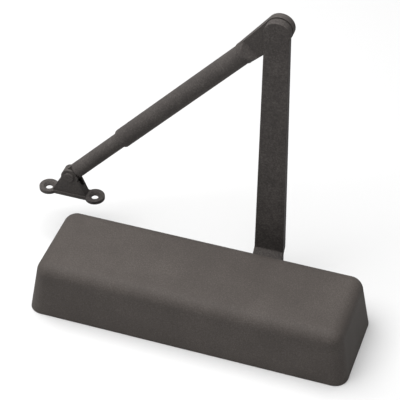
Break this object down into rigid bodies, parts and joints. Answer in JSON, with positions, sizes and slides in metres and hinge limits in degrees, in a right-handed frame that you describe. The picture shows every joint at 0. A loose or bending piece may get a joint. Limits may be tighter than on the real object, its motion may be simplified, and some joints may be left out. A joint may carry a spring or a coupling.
{
  "type": "door closer",
  "caption": "Surface mounted hydraulic door closer: leaning box cover over a rack and pinion body, with a flat main arm and a length adjustable forearm ending in a screw-on foot.",
  "frame": {"origin": "middle of the mounting face that lies on the door, which is also the middle of the four door bolts", "axes": "+X along the cover towards its valve end, +Y along the pinion towards the arm, +Z out of the door face through the cover's front"},
  "size_m": [0.3451, 0.1348, 0.3054],
  "materials": {
    "dark_bronze_paint": "fine matt speckled dark bronze powder coat",
    "arm_paint": "matt dark bronze powder coat on forged steel",
    "plated_steel": "zinc plated",
    "hardened_steel": "ground and hardened",
    "spring_steel": "oil tempered wire and strip",
    "cast_aluminium": "as cast, machined faces",
    "cast_iron": "machined",
    "bearing_bronze": "machined",
    "seal_rubber": "moulded",
    "ring_plastic": "filled fluoropolymer"
  },
  "bodies": {
    "closer_body": {"cover": "dark_bronze_paint", "cover_clips": "spring_steel", "housing": "cast_aluminium", "spring_end_cap": "plated_steel", "valve_end_cap": "plated_steel", "end_cap_seals": "seal_rubber", "arm_side_bearing": "bearing_bronze", "base_side_bearing": "bearing_bronze", "pinion_seals": "seal_rubber", "bearing_nut": "plated_steel", "pinion_cap": "plated_steel", "oil_plug": "plated_steel", "outer_spring": "spring_steel", "inner_spring": "spring_steel"},
    "main_arm": {"pinion_shaft": "hardened_steel", "main_arm": "arm_paint", "arm_washer": "plated_steel", "arm_screw": "plated_steel", "elbow_screw": "arm_paint", "elbow_washers": "plated_steel"},
    "forearm": {"forearm_head": "arm_paint", "forearm_tube": "arm_paint", "elbow_bushing": "bearing_bronze", "rod_lock_screw": "plated_steel"},
    "forearm_rod": {"forearm_rod": "arm_paint"},
    "foot": {"foot_bracket": "arm_paint", "foot_rivet": "arm_paint"},
    "piston": {"piston": "cast_iron", "piston_ring": "ring_plastic", "ball_retainer": "plated_steel"},
    "check_ball": {"check_ball": "hardened_steel"},
    "power_screw": {"power_screw": "plated_steel"},
    "spring_seat": {"spring_seat": "plated_steel"},
    "sweep_valve": {"sweep_valve": "plated_steel", "sweep_valve_seal": "seal_rubber"},
    "latch_valve": {"latch_valve": "plated_steel", "latch_valve_seal": "seal_rubber"},
    "backcheck_valve": {"backcheck_valve": "plated_steel", "backcheck_valve_seal": "seal_rubber"}
  },
  "joints": [
    {"name": "arm_swing", "type": "hinge", "parent": "closer_body", "child": "main_arm", "pos_m": [0.0493, 0, 0.028], "axis": [0, -1, 0], "range_deg": [0, 180], "stiffness_Nm_per_rad": 6, "springref_deg": -114.59},
    {"name": "piston_slide", "type": "slide", "parent": "closer_body", "child": "piston", "axis": [-1, 0, 0], "range_m": [0, 0.0331], "deforming": ["outer_spring", "inner_spring"]},
    {"name": "check_ball_float", "type": "slide", "parent": "piston", "child": "check_ball", "axis": [1, 0, 0], "range_m": [0, 0.0005]},
    {"name": "elbow_turn", "type": "hinge", "parent": "main_arm", "child": "forearm", "pos_m": [0.0493, 0.07165, 0.2929], "axis": [0, -1, 0], "range_deg": [-130, 7]},
    {"name": "rod_length", "type": "slide", "parent": "forearm", "child": "forearm_rod", "axis": [-0.6805, 0, -0.7328], "range_m": [-0.055, 0.055]},
    {"name": "foot_turn", "type": "hinge", "parent": "forearm_rod", "child": "foot", "pos_m": [-0.15579, 0.07165, 0.07204], "axis": [0, -1, 0], "range_deg": [-120, 50]},
    {"name": "power_screw_turn", "type": "hinge", "parent": "closer_body", "child": "power_screw", "pos_m": [-0.132, 0, 0.028], "axis": [-1, 0, 0], "range_deg": [0, 3600]},
    {"name": "spring_seat_slide", "type": "slide", "parent": "closer_body", "child": "spring_seat", "axis": [1, 0, 0], "range_m": [0, 0.0151]},
    {"name": "sweep_valve_turn", "type": "hinge", "parent": "closer_body", "child": "sweep_valve", "pos_m": [0.124, -0.018, 0.008], "axis": [1, 0, 0], "range_deg": [-360, 360]},
    {"name": "latch_valve_turn", "type": "hinge", "parent": "closer_body", "child": "latch_valve", "pos_m": [0.124, 0.018, 0.008], "axis": [1, 0, 0], "range_deg": [-360, 360]},
    {"name": "backcheck_valve_turn", "type": "hinge", "parent": "closer_body", "child": "backcheck_valve", "pos_m": [0.088, -0.0245, 0.008], "axis": [0, -1, 0], "range_deg": [-360, 360]}
  ],
  "couplings": [
    {"joint": "piston_slide", "follows": "arm_swing", "m_per_rad": 0.0105},
    {"joint": "spring_seat_slide", "follows": "power_screw_turn", "m_per_rad": 0.00023873}
  ]
}
